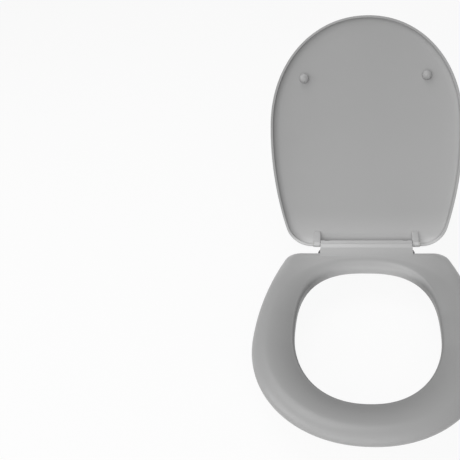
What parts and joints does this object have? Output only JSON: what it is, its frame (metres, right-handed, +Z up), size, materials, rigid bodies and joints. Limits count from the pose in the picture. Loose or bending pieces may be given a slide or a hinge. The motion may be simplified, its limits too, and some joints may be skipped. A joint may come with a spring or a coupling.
{
  "type": "toilet seat",
  "caption": "D-shaped moulded toilet seat: ring and domed lid on metal top-fixed hinge posts with domed covers, lid open and ring down.",
  "frame": {"origin": "midway between the two hinge posts, on the plane of the bowl's rim that the seat is fixed to", "axes": "+Z up, +X to the right as seen from the front, +Y to the back, with the front of the seat towards -Y"},
  "size_m": [0.3718, 0.7517, 0.4061],
  "materials": {
    "moulded_grey": "compression-moulded plastic with a high gloss",
    "soft_grey": "soft satin plastic, the seat's own grey",
    "pale_plastic": "moulded, satin",
    "soft_rubber": "matte rubber",
    "dark_metal": "dark satin plated metal",
    "bright_steel": "bright drawn steel"
  },
  "bodies": {
    "base": {"hinge_post_left": "dark_metal", "hinge_post_right": "dark_metal", "hinge_dome_left": "dark_metal", "hinge_dome_right": "dark_metal", "dome_gasket_left": "soft_rubber", "dome_gasket_right": "soft_rubber", "mounting_stud_left": "bright_steel", "mounting_stud_right": "bright_steel", "rubber_washer_left": "soft_rubber", "rubber_washer_right": "soft_rubber", "plastic_washer_left": "pale_plastic", "plastic_washer_right": "pale_plastic"},
    "ring": {"seat_ring": "moulded_grey", "seat_bumper_front_left": "soft_grey", "seat_bumper_front_right": "soft_grey", "seat_bumper_back_left": "soft_grey", "seat_bumper_back_right": "soft_grey", "ring_bush_inner_left": "pale_plastic", "ring_bush_inner_right": "pale_plastic", "ring_bush_outer_left": "pale_plastic", "ring_bush_outer_right": "pale_plastic"},
    "lid": {"lid_shell": "moulded_grey", "lid_bumper_left": "soft_grey", "lid_bumper_right": "soft_grey", "lid_bush_left": "pale_plastic", "lid_bush_right": "pale_plastic", "pin_cap_left": "pale_plastic", "pin_cap_right": "pale_plastic"},
    "pin_left": {"hinge_pin_left": "bright_steel"},
    "pin_right": {"hinge_pin_right": "bright_steel"},
    "nut_left": {"wing_nut_left": "pale_plastic"},
    "nut_right": {"wing_nut_right": "pale_plastic"}
  },
  "joints": [
    {"name": "lid_hinge", "type": "hinge", "parent": "base", "child": "lid", "pos_m": [0, 0, 0.023], "axis": [-1, 0, 0], "range_deg": [-130, 0]},
    {"name": "ring_hinge", "type": "hinge", "parent": "base", "child": "ring", "pos_m": [0, 0, 0.023], "axis": [-1, 0, 0], "range_deg": [0, 130]},
    {"name": "pin_turn_left", "type": "hinge", "parent": "base", "child": "pin_left", "pos_m": [-0.0756, 0, 0.023], "axis": [1, 0, 0], "continuous": true},
    {"name": "pin_turn_right", "type": "hinge", "parent": "base", "child": "pin_right", "pos_m": [0.0756, 0, 0.023], "axis": [1, 0, 0], "continuous": true},
    {"name": "nut_turn_left", "type": "hinge", "parent": "base", "child": "nut_left", "pos_m": [-0.073, 0, -0.0296], "axis": [0, 0, 1], "continuous": true},
    {"name": "nut_turn_right", "type": "hinge", "parent": "base", "child": "nut_right", "pos_m": [0.073, 0, -0.0296], "axis": [0, 0, 1], "continuous": true}
  ]
}
